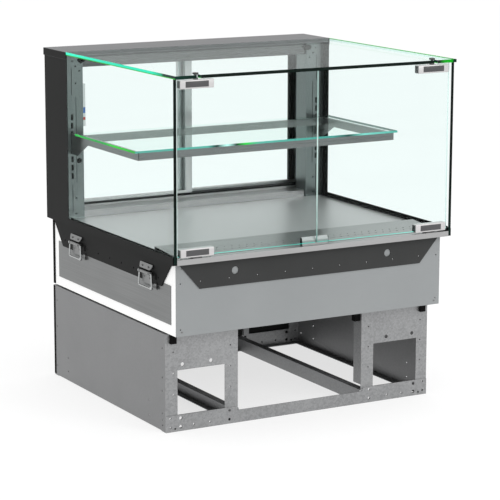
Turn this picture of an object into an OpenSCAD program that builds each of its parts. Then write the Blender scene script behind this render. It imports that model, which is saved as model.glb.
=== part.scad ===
// Drop-in heated display case: a glass case over a counter, an insulated
// body under it and a galvanised base. Millimetres. The origin is the
// bottom centre; +X is the right of the customer side, -Y is its front.

/* [Overall] */
// Width over the two side panes
case_w = 914; // [880:2:1000]
// Height of the glass case above the counter
glass_h = 521; // [490:1:600]
// Depth of the top pane, front edge to rear cap
top_pane_d = 700; // [690:1:712]
// How far the body hangs below the counter
body_drop = 207; // [205:1:300]
// Height of the base, floor to body pads
base_h = 285; // [284:1:320]

/* [Glass] */
// Thickness of the top pane and the side panes
pane_t = 9; // [8:0.5:10]
// Thickness of the front door panes
door_t = 6; // [5:0.5:8]
// Thickness of the shelf pane
shelf_t = 6; // [5:0.5:8]
// Upright slot that the shelf brackets hang in
shelf_step = 3; // [1:1:6]
// Depth of the shelf, front to rear
shelf_d = 400; // [340:1:400]

/* [Front doors] */
// Distance of each pivot in from the case side
pivot_inset = 72; // [70:1:76]
// Radius of the pivot pins
pivot_r = 4; // [3:0.5:4]
// Length of a hinge clamp along the door
clamp_w = 104; // [90:1:110]
// Height of a hinge clamp
clamp_h = 24; // [20:1:28]

/* [Lift handles] */
// Distance of the front handles from the case front
handle_front_y = 201; // [190:1:240]
// Distance of the rear handles from the case front
handle_rear_y = 668; // [620:1:680]
// Width of a handle bail
bail_w = 86; // [80:1:96]
// Drop of a handle bail
bail_drop = 42; // [36:1:50]
// Thickness of the bail wire
bail_wire = 5; // [4:0.5:5]

/* [Hidden] */
sheet = 2;
pad_h = 5;
half = case_w / 2;
body_z = base_h + pad_h;
counter_z = body_z + body_drop;
deck_z = counter_z + 14;
glass_top = counter_z + glass_h;
glass_under = glass_top - pane_t;
pane_in = half - pane_t;
pane_y = 12;
channel_t = 2.5;
case_front = 0;
case_back = 862;
mid_y = (case_back + case_front) / 2;
body_half = half - 19;
body_y = 38;
body_back = 851;
board_t = 12;
base_half = half - 17;
base_y = 100;
leg_in = base_half - 232;
rail_h = 37;
rail_end_h = 48;
flange_w = 26;
rear_y = 728;
upright_in = half - 67;
upright_out = half - 3;
upright_d = 62;
slot_x = half - 30;
slot_pitch = 25.4;
slot_z = 135;
slot_h = 18;
slot_count = 8;
skirt_t = 3;
skirt_face = body_half + sheet + skirt_t;
rail_y = 10;
rail_top = counter_z + 15.5;
door_y = 17;
door_mid = door_y + door_t / 2;
door_lo = counter_z + 22.5;
door_hi = glass_under - 2;
door_out = pane_in - 4;
pivot_x = half - pivot_inset;
cheek_t = 7.5;
clamp_lo = counter_z + 19.5;
clamp_hi = glass_under - 4.5;
core_w = 40;
core_h = 15;
core_gap = 0.5;
fit = 0.05;
sill_y = 735;
sill_z = counter_z + 33;
track_y = [800, 842];
slider_t = 12;
slider_y = [806, 824];
slider_lo = sill_z + 8;
slider_hi = glass_top - 33;
slider_x = [27 - half, 20];
stile = 24;
glazed_x = [slider_x[0] + stile, slider_x[1] - stile];
glazed_z = [slider_lo + 14, slider_hi - 20];
pull_w = 22;
shelf_half = half - 16;
shelf_y = rear_y - 50 - shelf_d;
shelf_under = counter_z + slot_z + shelf_step * slot_pitch + 62.3;
bracket_x = slot_x + 3;
bracket_t = 2.5;
frame_h = 22;
frame_w = 12;
pin_x = half - 6;
pin_z = counter_z - 51;
ear_y = 34;
blower_y = 300;
blower_shaft_r = 4;
wheel_z = body_z + sheet + 12;
wheel_h = 38;
knob_x = 260;
knob_z = body_z + 135;
knob_shaft_r = 3;
switch_x = 335;
switch_z = body_z + 135;
switch_w = 28;
switch_h = 20;
switch_y = body_back - 7;
trunnion_r = 1.5;
inlet_x = 335;
inlet_z = body_z + 50;
inlet_r = 10;
leg_holes = [[386, 193.5, 5.5], [295, 193.5, 5.5], [415, 231, 2.2], [415, 170, 2.2],
             [415, 108, 2.2], [232.5, 231, 2.2], [232.5, 170, 2.2], [232.5, 108, 2.2]];
rail_holes = [[426, 40, 3], [426, 13, 3], [411, 9, 3], [393, 38, 5], [393, 13, 5],
              [351, 15, 3], [299, 15, 3], [236, 40, 4], [236, 13, 4]];
galvanised = "DarkGray";
stainless = "Silver";
black_coat = "#2c2d2c";
glass_tint = [0.6, 0.9, 0.85, 0.4];

// Facets of a round: fewer on the small fixing holes.
function sides(r) = r < 6 ? 16 : 40;

// A box between two corners. Here and below, y counts from the case front.
module slab(lo, hi) {
  translate([lo[0], lo[1] - mid_y, lo[2]]) cube(hi - lo);
}

// Each side of the case is drawn on the left.
module right_side() {
  mirror([1, 0, 0]) children();
}

module both_sides() {
  children();
  right_side() children();
}

// Round rods and drills along each axis.
module rod_x(x, y, z, r, len) {
  translate([x, y - mid_y, z]) rotate([0, 90, 0]) cylinder(r = r, h = len, $fn = sides(r));
}

module rod_y(x, y, z, r, len) {
  translate([x, y - mid_y, z]) rotate([-90, 0, 0]) cylinder(r = r, h = len, $fn = sides(r));
}

module rod_z(x, y, z, r, len) {
  translate([x, y - mid_y, z]) cylinder(r = r, h = len, $fn = sides(r));
}

/* ---- base ---- */

// A side of the base: a sheet with flanges turned in at the top and bottom.
module base_side() {
  side_holes = [[119.5, 242], [119.5, 157], [119.5, 119], [119.5, 53], [119.5, 34],
                [119.5, 18], [829, 240], [829, 158], [831, 33], [753, 73], [753, 30],
                [203, 73], [203, 29]];
  side_y = [base_y + sheet, body_back - 2 * sheet];
  difference() {
    union() {
      slab([-base_half, side_y[0], sheet], [-base_half + sheet, side_y[1], base_h]);
      for (z = [sheet, base_h - sheet])
        slab([-base_half, side_y[0], z], [-base_half + flange_w, side_y[1], z + sheet]);
    }
    for (h = side_holes) rod_x(-base_half - 1, h[0], h[1], 2.5, sheet + 2);
  }
}

module base_sides() { color(galvanised) both_sides() base_side(); }

// A corner leg: a windowed plate with its inner edge turned towards `back`,
// +1 to the rear or -1 to the front.
module leg(y, back) {
  fold = back * 42;
  window = [[-402, 48], [-250, 177]];
  difference() {
    union() {
      slab([-base_half, y, sheet], [-leg_in, y + sheet, base_h]);
      slab([-leg_in - sheet, min(y, y + sheet + fold), rail_end_h + 9],
           [-leg_in, max(y + sheet, y + fold), base_h]);
    }
    slab([window[0][0], y - 1, window[0][1]], [window[1][0], y + sheet + 1, window[1][1]]);
    for (h = concat(leg_holes, rail_holes)) rod_y(-h[0], y - 1, h[1], h[2], sheet + 2);
  }
}

module base_front_leg_left() { color(galvanised) leg(base_y, 1); }
module base_front_leg_right() { color(galvanised) right_side() leg(base_y, 1); }
module base_rear_legs() { color(galvanised) both_sides() leg(body_back - 2 * sheet, -1); }

// A bottom rail: its web is at y, its foot reaches from y_foot to y_foot_end.
module bottom_rail(y, y_foot, y_foot_end) {
  difference() {
    union() {
      slab([-base_half, y, 0], [base_half, y + sheet, rail_h]);
      slab([-base_half, y_foot, 0], [base_half, y_foot_end, sheet]);
      both_sides() slab([-base_half, y, 0], [-leg_in - 5, y + sheet, rail_end_h]);
    }
    both_sides()
      for (h = rail_holes) rod_y(-h[0], y - 1, h[1], h[2], sheet + 2);
  }
}

module base_front_rail() {
  color(galvanised) bottom_rail(base_y - sheet, base_y - sheet, base_y + flange_w);
}

module base_rear_rail() {
  color(galvanised) bottom_rail(body_back - sheet, body_back - flange_w, body_back);
}

// Two channels that run front to rear, open to the outside.
module base_channels() {
  channel_h = 42;
  web_x = -leg_in + sheet;
  channel_y = [base_y + sheet, body_back - 2 * sheet];
  color(galvanised) both_sides() {
    slab([web_x, channel_y[0], sheet], [web_x + sheet, channel_y[1], channel_h]);
    for (z = [sheet, channel_h - sheet])
      slab([web_x - 22, channel_y[0], z], [web_x + sheet, channel_y[1], z + sheet]);
  }
}

// The black sheet that closes the rear of the base.
module base_rear_cover() {
  color(black_coat)
    slab([-base_half, body_back, 3], [base_half, body_back + sheet, base_h]);
}

// Pads under the body, and black blocks that hold it on the front legs.
module isolation_blocks() {
  pad_w = 18;
  color("#1c1c1c") both_sides() {
    for (y = [160, 771])
      slab([-base_half + 6, y, base_h], [-base_half + 6 + pad_w, y + 2 * pad_w, body_z]);
    slab([-base_half + 13, base_y - 10, base_h - 28], [-base_half + 13 + pad_w, base_y, body_z]);
    slab([-leg_in, base_y + 8, base_h - 36], [-leg_in + pad_w, base_y + 8 + pad_w, body_z]);
  }
}

/* ---- body ---- */

module body_front_panel() {
  color("#aeb1b2") difference() {
    slab([-body_half, body_y, body_z], [body_half, body_y + sheet, counter_z]);
    for (s = [-1, 1], z = [body_z + 19, counter_z - 58])
      rod_y(s * (body_half - 14), body_y - 1, z, 2, sheet + 2);
  }
}

module body_boards() {
  color("white") both_sides()
    slab([-body_half, body_y + sheet, body_z],
         [-body_half + board_t, body_back - sheet, counter_z]);
}

// Stainless plates that stand proud of the insulated sides.
module body_side_plates() {
  color(stainless) both_sides()
    slab([-body_half - sheet, 66, body_z + 29], [-body_half, 810, counter_z - 67]);
}

module body_rear_panel() {
  color(black_coat) difference() {
    slab([-body_half, body_back - sheet, body_z], [body_half, body_back, counter_z]);
    control_face(0.2);
    rod_y(inlet_x, body_back - 2 * sheet, inlet_z, inlet_r + 0.5, 4 * sheet);
  }
}

module body_floor() {
  color(galvanised)
    slab([-body_half + board_t, body_y + sheet, body_z],
         [body_half - board_t, body_back - sheet, body_z + sheet]);
}

// A serpentine tube heater, held to the underside of the deck by three bars.
module heater_element() {
  tube_r = 4;
  tube_sides = 16;
  runs = 6;
  pitch = 80;
  run_half = 300;
  first_y = 220;
  tube_z = deck_z - sheet - 16;
  color("#6b6459") {
    for (i = [0 : runs - 1])
      rod_x(-run_half, first_y + i * pitch, tube_z, tube_r, 2 * run_half);
    for (i = [0 : runs - 2])
      translate([(i % 2 == 0 ? 1 : -1) * run_half, first_y + (i + 0.5) * pitch - mid_y, tube_z])
        rotate([0, 0, i % 2 == 0 ? -90 : 90])
          rotate_extrude(angle = 180, $fn = 48)
            translate([pitch / 2, 0]) circle(r = tube_r, $fn = tube_sides);
    for (x = [-200, 0, 200])
      slab([x - 6, first_y - 12, tube_z],
           [x + 6, first_y + (runs - 1) * pitch + 12, deck_z - sheet]);
  }
}

// Hot-air blower: a round housing with its motor and shaft.
module blower_housing() {
  drum_r = 90;
  drum_h = 62;
  drum_z = body_z + sheet;
  color(galvanised) {
    difference() {
      rod_z(0, blower_y, drum_z, drum_r, drum_h);
      rod_z(0, blower_y, drum_z + sheet, drum_r - sheet, drum_h);
      slab([-2 * drum_r, blower_y - 20, drum_z + 10], [0, blower_y + 20, drum_z + drum_h - 10]);
    }
    rod_z(0, blower_y, drum_z, 24, 10);
    rod_z(0, blower_y, drum_z, blower_shaft_r, drum_h - 8);
  }
}

module blower_wheel() {
  blades = 16;
  wheel_r = 70;
  color("#3a3a3c") difference() {
    union() {
      rod_z(0, blower_y, wheel_z, wheel_r, 2);
      rod_z(0, blower_y, wheel_z, 10, wheel_h - 6);
      difference() {
        rod_z(0, blower_y, wheel_z + wheel_h - 3, wheel_r, 3);
        rod_z(0, blower_y, wheel_z + wheel_h - 4, wheel_r - 14, 5);
      }
      for (i = [0 : blades - 1])
        translate([0, blower_y - mid_y, wheel_z + 1])
          rotate([0, 0, i * 360 / blades])
            translate([wheel_r - 12, 0, 0]) cube([10, 1.2, wheel_h - 2]);
    }
    rod_z(0, blower_y, wheel_z - 1, blower_shaft_r + fit, wheel_h + 2);
  }
}

// The control box shows through the rear panel; gap widens its outline.
module control_face(gap) {
  slab([220 - gap, body_back - 2 * sheet, body_z + 100 - gap],
       [395 + gap, body_back + sheet, body_z + 170 + gap]);
}

module control_box() {
  recess = core_gap;
  color("#8c8f90") difference() {
    union() {
      slab([215, body_back - 90, body_z + 95], [400, body_back - sheet, body_z + 175]);
      intersection() {
        control_face(0);
        slab([0, body_back - sheet, body_z], [body_half, body_back, counter_z]);
      }
    }
    rod_y(knob_x, body_back - 25, knob_z, knob_shaft_r + fit, 30);
    slab([switch_x - switch_w / 2 - recess, body_back - 18, switch_z - switch_h / 2 - 1],
         [switch_x + switch_w / 2 + recess, body_back + 1, switch_z + switch_h / 2 + 1]);
    rod_x(switch_x - switch_w / 2 - 4, switch_y, switch_z, trunnion_r + fit, switch_w + 8);
  }
}

// The skirted knob turns on its own shaft.
module thermostat_knob() {
  color("#1c1c1c") {
    rod_y(knob_x, body_back + 0.5, knob_z, 19, 2.5);
    difference() {
      rod_y(knob_x, body_back + 3, knob_z, 15, 7.5);
      for (i = [0 : 11])
        translate([knob_x, body_back - mid_y, knob_z]) rotate([0, i * 30, 0])
          translate([16, 0, 0]) rotate([-90, 0, 0]) cylinder(r = 2, h = 12, $fn = 16);
    }
    rod_y(knob_x, body_back - 24, knob_z, knob_shaft_r, 25);
  }
}

// A rocker, tipped to its off side, on two trunnions.
module power_switch() {
  tilt = 9;
  color("#5a1f1c") translate([switch_x, switch_y - mid_y, switch_z]) rotate([tilt, 0, 0]) {
    intersection() {
      translate([-switch_w / 2, -5, -switch_h / 2 + 1.5]) cube([switch_w, 16, switch_h - 3]);
      rotate([0, 90, 0]) cylinder(r = 10.5, h = switch_w, center = true, $fn = 40);
    }
    rotate([0, 90, 0]) cylinder(r = trunnion_r, h = switch_w + 6, center = true, $fn = 16);
  }
}

// The gland where a supply lead would enter.
module power_inlet() {
  color("#1c1c1c") difference() {
    union() {
      rod_y(inlet_x, body_back - 16, inlet_z, inlet_r, 24);
      translate([inlet_x, body_back - mid_y, inlet_z])
        rotate([-90, 0, 0]) cylinder(r = 14, h = 5, $fn = 6);
    }
    rod_y(inlet_x, body_back - 20, inlet_z, 5, 32);
  }
}

/* ---- skirts and deck ---- */

// A skirt with both lower corners mitred, flat in XZ with its top on z = 0.
module skirt(half_len, pitch, hole_drop) {
  drop = 77;
  mitre = 67;
  rotate([90, 0, 0]) linear_extrude(skirt_t) difference() {
    polygon([[-half_len, 0], [half_len, 0], [half_len - mitre, -drop], [mitre - half_len, -drop]]);
    for (i = [-4 : 4]) translate([i * pitch, -hole_drop]) circle(r = 2.7, $fn = 16);
  }
}

module skirt_front() {
  big_hole_x = 252.5;
  color(black_coat) difference() {
    translate([0, body_y - mid_y, counter_z]) skirt(half - 25, 90.5, 55.5);
    for (s = [-1, 1]) rod_y(s * big_hole_x, body_y - 5, counter_z - 35.5, 11, 10);
  }
}

module skirt_sides() {
  skirt_mid_y = 445;
  color(black_coat) both_sides()
    translate([-body_half - sheet, skirt_mid_y - mid_y, counter_z])
      rotate([0, 0, -90]) skirt(394, 77.7, 56);
}

// Aluminium angle along the front of the deck.
module front_rail() {
  color("#c8cacb") {
    slab([-pane_in, rail_y, counter_z], [pane_in, rail_y + 3, rail_top]);
    slab([-pane_in + channel_t, rail_y + 3, rail_top - 3],
         [pane_in - channel_t, rail_y + 24, rail_top]);
  }
}

// The heated deck: its edges turn down and rest on the body.
module deck_pan() {
  deck_half = pane_in - channel_t;
  deck_y = [rail_y + 24, rear_y - 1];
  color(stainless) {
    slab([-deck_half, deck_y[0], deck_z - sheet], [deck_half, deck_y[1], deck_z]);
    for (y = [deck_y[0], deck_y[1] - sheet])
      slab([-deck_half, y, counter_z], [deck_half, y + sheet, deck_z - sheet]);
    both_sides() {
      slab([-deck_half, deck_y[0], counter_z], [-deck_half + sheet, deck_y[1], deck_z - sheet]);
      slab([-deck_half, deck_y[0], counter_z], [-deck_half + 15, deck_y[1], counter_z + sheet]);
    }
  }
}

// The perforated strip, sloped up from the rail, lets warm air rise.
module air_strip() {
  strip_half = half - 24;
  hole_pitch = 24;
  color("#9a9d9c") difference() {
    translate([-strip_half, -mid_y, counter_z]) rotate([90, 0, 90]) linear_extrude(2 * strip_half)
      polygon([[38, 14], [38, 15.6], [176, 25], [176, 14], [174, 14], [174, 22.9],
               [50, 14.4], [50, 14]]);
    for (i = [-17 : 17], row = [0, 1])
      rod_z((i + row / 2) * hole_pitch, 78 + row * 22, deck_z + 0.2, 2.5, 20);
  }
}

// The raised sill under the rear doors, joined to both end panels.
module rear_sill() {
  sill_half = half - 3;
  color(stainless) {
    slab([-sill_half, rear_y - 1, deck_z - sheet], [sill_half, sill_y + sheet, deck_z]);
    slab([-upright_in, sill_y, deck_z], [upright_in, sill_y + sheet, sill_z]);
    slab([-upright_in, sill_y + sheet, sill_z - sheet],
         [upright_in, rear_y + upright_d, sill_z]);
    slab([-sill_half, rear_y + upright_d, sill_z - sheet], [sill_half, body_back + 1, sill_z]);
    slab([-sill_half, body_back - 1, counter_z], [sill_half, body_back + 1, sill_z - sheet]);
  }
}

// Grooved tracks that guide the rear doors at the bottom and the top.
module door_tracks() {
  track_half = half - 3;
  gap = 0.5;
  color("#1c1c1c") difference() {
    union() {
      slab([-track_half, track_y[0], sill_z], [track_half, track_y[1], slider_lo + 5]);
      slab([-track_half, track_y[0], slider_hi - 8],
           [track_half, track_y[1], glass_top - sheet]);
    }
    for (y = slider_y)
      slab([-half, y - gap, slider_lo - 0.1], [half, y + slider_t + gap, slider_hi + 1]);
  }
}

// Black channels that hold the bottom edges of the side panes.
module side_channels() {
  lip_z = counter_z + 22;
  channel_y = [pane_y + 2, top_pane_d];
  color(black_coat) both_sides() {
    slab([-half - channel_t, channel_y[0], counter_z], [-half, channel_y[1], lip_z]);
    slab([-pane_in, channel_y[0], counter_z], [-pane_in + channel_t, channel_y[1], lip_z]);
    slab([-half, channel_y[0], counter_z], [-pane_in, channel_y[1], counter_z + 4]);
  }
}

/* ---- rear frame ---- */

// A black end panel: a sheet with its rear edge turned in.
module end_panel() {
  color(black_coat) {
    slab([-half + 1, top_pane_d, counter_z], [-half + 3, case_back - 4, glass_top - sheet]);
    slab([-half + 3, case_back - 6, sill_z - 10],
         [-half + 32, case_back - 4, glass_top - sheet]);
  }
}

module end_panel_left() { end_panel(); }
module end_panel_right() { right_side() end_panel(); }

// The grey lid over the rear frame, with a ledge under the top pane.
module top_cap() {
  wall = 1;
  wall_z = glass_top - 22;
  lid_y = [top_pane_d + 1, case_back];
  color("#919194") {
    slab([-half, lid_y[0], glass_top - sheet], [half, lid_y[1], glass_top]);
    slab([-half, lid_y[1] - sheet, wall_z], [half, lid_y[1], glass_top - sheet]);
    both_sides()
      slab([-half, lid_y[0], wall_z], [-half + wall, lid_y[1] - sheet, glass_top - sheet]);
    slab([3 - half, lid_y[0], glass_under - sheet], [half - 3, lid_y[0] + sheet, glass_top - sheet]);
    slab([-pane_in + 2, top_pane_d - 18, glass_under - sheet],
         [pane_in - 2, lid_y[0] + sheet, glass_under]);
  }
}

// Stainless header across the top of the rear opening.
module header_rail() {
  header_z = glass_top - 51;
  color(stainless) {
    slab([-upright_in, sill_y, header_z], [upright_in, sill_y + sheet, glass_top - sheet]);
    slab([-upright_in, sill_y + sheet, header_z], [upright_in, sill_y + 8, header_z + sheet]);
  }
}

// A lamp bar behind the header.
module lamp_bar() {
  lamp_z = glass_top - 43;
  color("white") difference() {
    slab([-370, sill_y + sheet, lamp_z], [370, sill_y + 28, lamp_z + 16]);
    slab([-366, sill_y + 6, lamp_z - 1], [366, sill_y + 24, lamp_z + 3]);
  }
}

// A slotted upright: a folded channel with shelf slots down its face.
module upright() {
  top_z = glass_top - sheet;
  low_holes = [[-40, 76], [-39, 28]];
  high_holes = [[-33, 31], [-43, 47], [-56, 61], [-43, 98]];
  color(stainless) difference() {
    union() {
      slab([-upright_out, rear_y, deck_z], [-upright_in, rear_y + sheet, top_z]);
      for (x = [-upright_out, -upright_in - sheet])
        slab([x, rear_y + sheet, deck_z], [x + sheet, rear_y + upright_d, top_z]);
    }
    for (i = [0 : slot_count - 1])
      slab([-slot_x - 4, rear_y - 1, counter_z + slot_z + i * slot_pitch],
           [-slot_x + 4, rear_y + 3, counter_z + slot_z + i * slot_pitch + slot_h]);
    rod_y(53 - half, rear_y - 1, counter_z + 188, 7, 4);
    rod_y(60 - half, rear_y - 1, glass_top - 35, 4.5, 4);
    for (h = low_holes) rod_y(-half - h[0], rear_y - 1, counter_z + h[1], 2.6, 4);
    for (h = high_holes) rod_y(-half - h[0], rear_y - 1, glass_top - h[1], 2.6, 4);
  }
}

module upright_left() { upright(); }
module upright_right() { right_side() upright(); }

/* ---- glass ---- */

module side_pane() {
  slab([-half, pane_y, counter_z + 4], [-pane_in, top_pane_d, glass_under]);
}

module side_pane_left() { color(glass_tint) side_pane(); }
module side_pane_right() { color(glass_tint) right_side() side_pane(); }

// The top pane, notched at its front edge for the two door pivots.
module top_pane() {
  notch_r = 6.5;
  color(glass_tint) difference() {
    slab([-half, 0, glass_under], [half, top_pane_d, glass_top]);
    for (s = [-1, 1]) {
      rod_z(s * pivot_x, door_mid, glass_under - 1, notch_r, pane_t + 2);
      slab([s * pivot_x - notch_r, -1, glass_under - 1],
           [s * pivot_x + notch_r, door_mid, glass_top + 1]);
    }
  }
}

// Pivot pins: the upper ones hang from the top pane, the lower ones stand
// on plates on the front rail. Each has a collar beside the clamp.
module door_pivots() {
  cap_r = 8.5;
  cap_h = 5;
  plate_t = 3;
  end_gap = 1;
  collar_gap = 0.3;
  plate_z = rail_top + plate_t;
  pin_lo = clamp_hi - core_h + 1 + end_gap;
  color(stainless) both_sides() {
    rod_z(-pivot_x, door_mid, glass_top, cap_r, cap_h);
    rod_z(-pivot_x, door_mid, pin_lo, pivot_r, glass_top - pin_lo);
    rod_z(-pivot_x, door_mid, clamp_hi + collar_gap, 7.5, glass_under - clamp_hi - collar_gap);
    slab([-pivot_x - 15, rail_y, rail_top], [-pivot_x + 15, rail_y + 24, plate_z]);
    rod_z(-pivot_x, door_mid, plate_z, 7, clamp_lo - plate_z - collar_gap);
    rod_z(-pivot_x, door_mid, plate_z, pivot_r, clamp_lo + core_h - 1 - end_gap - plate_z);
  }
}

// The catch that both doors close against, its upper front face sloped.
module door_catch() {
  catch_y = [door_y + door_t + 0.5, rail_y + 24];
  catch_z = counter_z + 39;
  slope_z = rail_top + 14;
  color(stainless) translate([-43, -mid_y, 0]) rotate([90, 0, 90]) linear_extrude(86)
    polygon([[catch_y[0], rail_top], [catch_y[1], rail_top], [catch_y[1], catch_z],
             [catch_y[0] + 5, catch_z], [catch_y[0], slope_z]]);
}

// A front door pane, cut out at its outer corners for the hinge cores.
module front_pane() {
  meeting_gap = 5;
  cut = core_w / 2 + core_gap;
  color(glass_tint) difference() {
    slab([-door_out, door_y, door_lo], [-meeting_gap / 2, door_y + door_t, door_hi]);
    slab([-pivot_x - cut, door_y - 1, door_lo - 1],
         [-pivot_x + cut, door_y + door_t + 1, clamp_lo + core_h + core_gap]);
    slab([-pivot_x - cut, door_y - 1, clamp_hi - core_h - core_gap],
         [-pivot_x + cut, door_y + door_t + 1, door_hi + 1]);
  }
}

module front_door_left() { front_pane(); }
module front_door_right() { right_side() front_pane(); }

// A hinge clamp: two cheeks that pinch the pane, and a core with a blind
// pivot bore that starts at bore_z.
module hinge_clamp(z, core_z, bore_z) {
  clamp_y = [door_y - cheek_t, door_y + door_t + cheek_t];
  clamp_x = [-pivot_x - clamp_w / 2, -pivot_x + clamp_w / 2];
  difference() {
    union() {
      slab([clamp_x[0], clamp_y[0], z], [clamp_x[1], door_y, z + clamp_h]);
      slab([clamp_x[0], door_y + door_t, z], [clamp_x[1], clamp_y[1], z + clamp_h]);
      slab([-pivot_x - core_w / 2, clamp_y[0], core_z],
           [-pivot_x + core_w / 2, clamp_y[1], core_z + core_h]);
    }
    rod_z(-pivot_x, door_mid, bore_z, pivot_r + fit, core_h);
  }
}

module hinge_clamps() {
  color("#d8d8d6") {
    hinge_clamp(clamp_lo, clamp_lo, clamp_lo - 1);
    hinge_clamp(clamp_hi - clamp_h, clamp_hi - core_h, clamp_hi - core_h + 1);
  }
}

module hinge_clamps_left() { hinge_clamps(); }
module hinge_clamps_right() { right_side() hinge_clamps(); }

// A rear sliding door in three pieces: frame, pane and pull.
module rear_frame(y) {
  color("#b8bcbc") difference() {
    slab([slider_x[0], y, slider_lo], [slider_x[1], y + slider_t, slider_hi]);
    slab([glazed_x[0], y - 1, glazed_z[0]], [glazed_x[1], y + slider_t + 1, glazed_z[1]]);
  }
}

module rear_pane(y) {
  color(glass_tint)
    slab([glazed_x[0] + pull_w, y + 4, glazed_z[0]], [glazed_x[1], y + 8, glazed_z[1]]);
}

// A full-height black pull with a finger groove on the server's side.
module rear_pull(y) {
  color("#161616") difference() {
    slab([glazed_x[0], y + 1, glazed_z[0]], [glazed_x[0] + pull_w, y + slider_t - 1, glazed_z[1]]);
    slab([glazed_x[0] + 6, y + 6, glazed_z[0] + 20],
         [glazed_x[0] + pull_w - 5, y + slider_t, glazed_z[1] - 20]);
  }
}

module rear_door_frame_left() { rear_frame(slider_y[0]); }
module rear_door_frame_right() { right_side() rear_frame(slider_y[1]); }
module rear_door_pane_left() { rear_pane(slider_y[0]); }
module rear_door_pane_right() { right_side() rear_pane(slider_y[1]); }
module rear_door_pull_left() { rear_pull(slider_y[0]); }
module rear_door_pull_right() { right_side() rear_pull(slider_y[1]); }

/* ---- shelf ---- */

module shelf_pane() {
  color([0.5, 0.85, 0.6, 0.5])
    slab([-shelf_half, shelf_y, shelf_under], [shelf_half, shelf_y + shelf_d, shelf_under + shelf_t]);
}

// A welded frame of bars under the shelf pane.
module shelf_frame() {
  frame_half = bracket_x - bracket_t;
  frame_y = [shelf_y + 2, shelf_y + shelf_d - 2];
  color(stainless) difference() {
    slab([-frame_half, frame_y[0], shelf_under - frame_h], [frame_half, frame_y[1], shelf_under]);
    slab([-frame_half + frame_w, frame_y[0] + frame_w, shelf_under - frame_h - 1],
         [frame_half - frame_w, frame_y[1] - frame_w, shelf_under + 1]);
  }
}

// Cantilever brackets: plates with a gusset and two hooks in the upright slots.
module shelf_brackets() {
  gusset = 62.3;
  hook_z = shelf_under - gusset;
  bracket_y = shelf_y + 4;
  color(stainless) both_sides() {
    translate([-bracket_x, -mid_y, 0]) rotate([90, 0, 90]) linear_extrude(bracket_t)
      polygon([[bracket_y, shelf_under], [rear_y, shelf_under], [rear_y, hook_z],
               [rear_y - 42, hook_z], [rear_y - 112, shelf_under - frame_h],
               [bracket_y, shelf_under - frame_h]]);
    for (z = [hook_z, hook_z + slot_pitch]) {
      slab([-bracket_x, rear_y, z], [-bracket_x + bracket_t, rear_y + 4.5, z + 10]);
      slab([-bracket_x, rear_y + sheet, z - 5], [-bracket_x + bracket_t, rear_y + 4.5, z]);
    }
  }
}

/* ---- lift handles ---- */

// A handle's mounting plate with two bored ears.
module handle_plate(y) {
  ear_t = 4;
  difference() {
    union() {
      slab([-skirt_face - 2, y - ear_y, counter_z - 76], [-skirt_face, y + ear_y, counter_z - 27]);
      for (ear = [y - ear_y, y + ear_y - ear_t])
        slab([-pin_x - 5, ear, pin_z - 6], [-skirt_face, ear + ear_t, pin_z + 6]);
    }
    rod_y(-pin_x, y - ear_y - 1, pin_z, bail_wire / 2 + fit, 2 * ear_y + 2);
  }
}

module handle_plates() {
  color(stainless) both_sides() {
    handle_plate(handle_front_y);
    handle_plate(handle_rear_y);
  }
}

// A bail: a closed wire loop whose top bar turns in the plate's ears.
module bail(y) {
  wire_r = bail_wire / 2;
  bend = 5;
  w = bail_w / 2 - wire_r;
  color("#c4c6c7") {
    for (z = [pin_z, pin_z - bail_drop]) rod_y(-pin_x, y - w + bend, z, wire_r, 2 * (w - bend));
    for (s = [-1, 1]) rod_z(-pin_x, y + s * w, pin_z - bail_drop + bend, wire_r, bail_drop - 2 * bend);
    for (s = [-1, 1], t = [0, 1])
      translate([-pin_x, y + s * (w - bend) - mid_y, pin_z - bend - t * (bail_drop - 2 * bend)])
        rotate([90, 0, 90]) rotate([0, 0, s > 0 ? -90 * t : 90 + 90 * t])
          rotate_extrude(angle = 90, $fn = 40) translate([bend, 0]) circle(r = wire_r, $fn = 16);
  }
}

module bail_front_left() { bail(handle_front_y); }
module bail_rear_left() { bail(handle_rear_y); }
module bail_front_right() { right_side() bail(handle_front_y); }
module bail_rear_right() { right_side() bail(handle_rear_y); }

base_sides();
base_front_leg_left();
base_front_leg_right();
base_rear_legs();
base_front_rail();
base_rear_rail();
base_channels();
base_rear_cover();
isolation_blocks();
body_front_panel();
body_boards();
body_side_plates();
body_rear_panel();
body_floor();
heater_element();
blower_housing();
blower_wheel();
control_box();
thermostat_knob();
power_switch();
power_inlet();
skirt_front();
skirt_sides();
front_rail();
deck_pan();
air_strip();
rear_sill();
door_tracks();
side_channels();
end_panel_left();
end_panel_right();
top_cap();
header_rail();
lamp_bar();
upright_left();
upright_right();
side_pane_left();
side_pane_right();
top_pane();
door_pivots();
door_catch();
front_door_left();
front_door_right();
hinge_clamps_left();
hinge_clamps_right();
rear_door_frame_left();
rear_door_frame_right();
rear_door_pane_left();
rear_door_pane_right();
rear_door_pull_left();
rear_door_pull_right();
shelf_pane();
shelf_frame();
shelf_brackets();
handle_plates();
bail_front_left();
bail_rear_left();
bail_front_right();
bail_rear_right();
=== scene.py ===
from math import pi, radians

import bmesh
import bpy
from mathutils import Matrix, Quaternion, Vector


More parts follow.
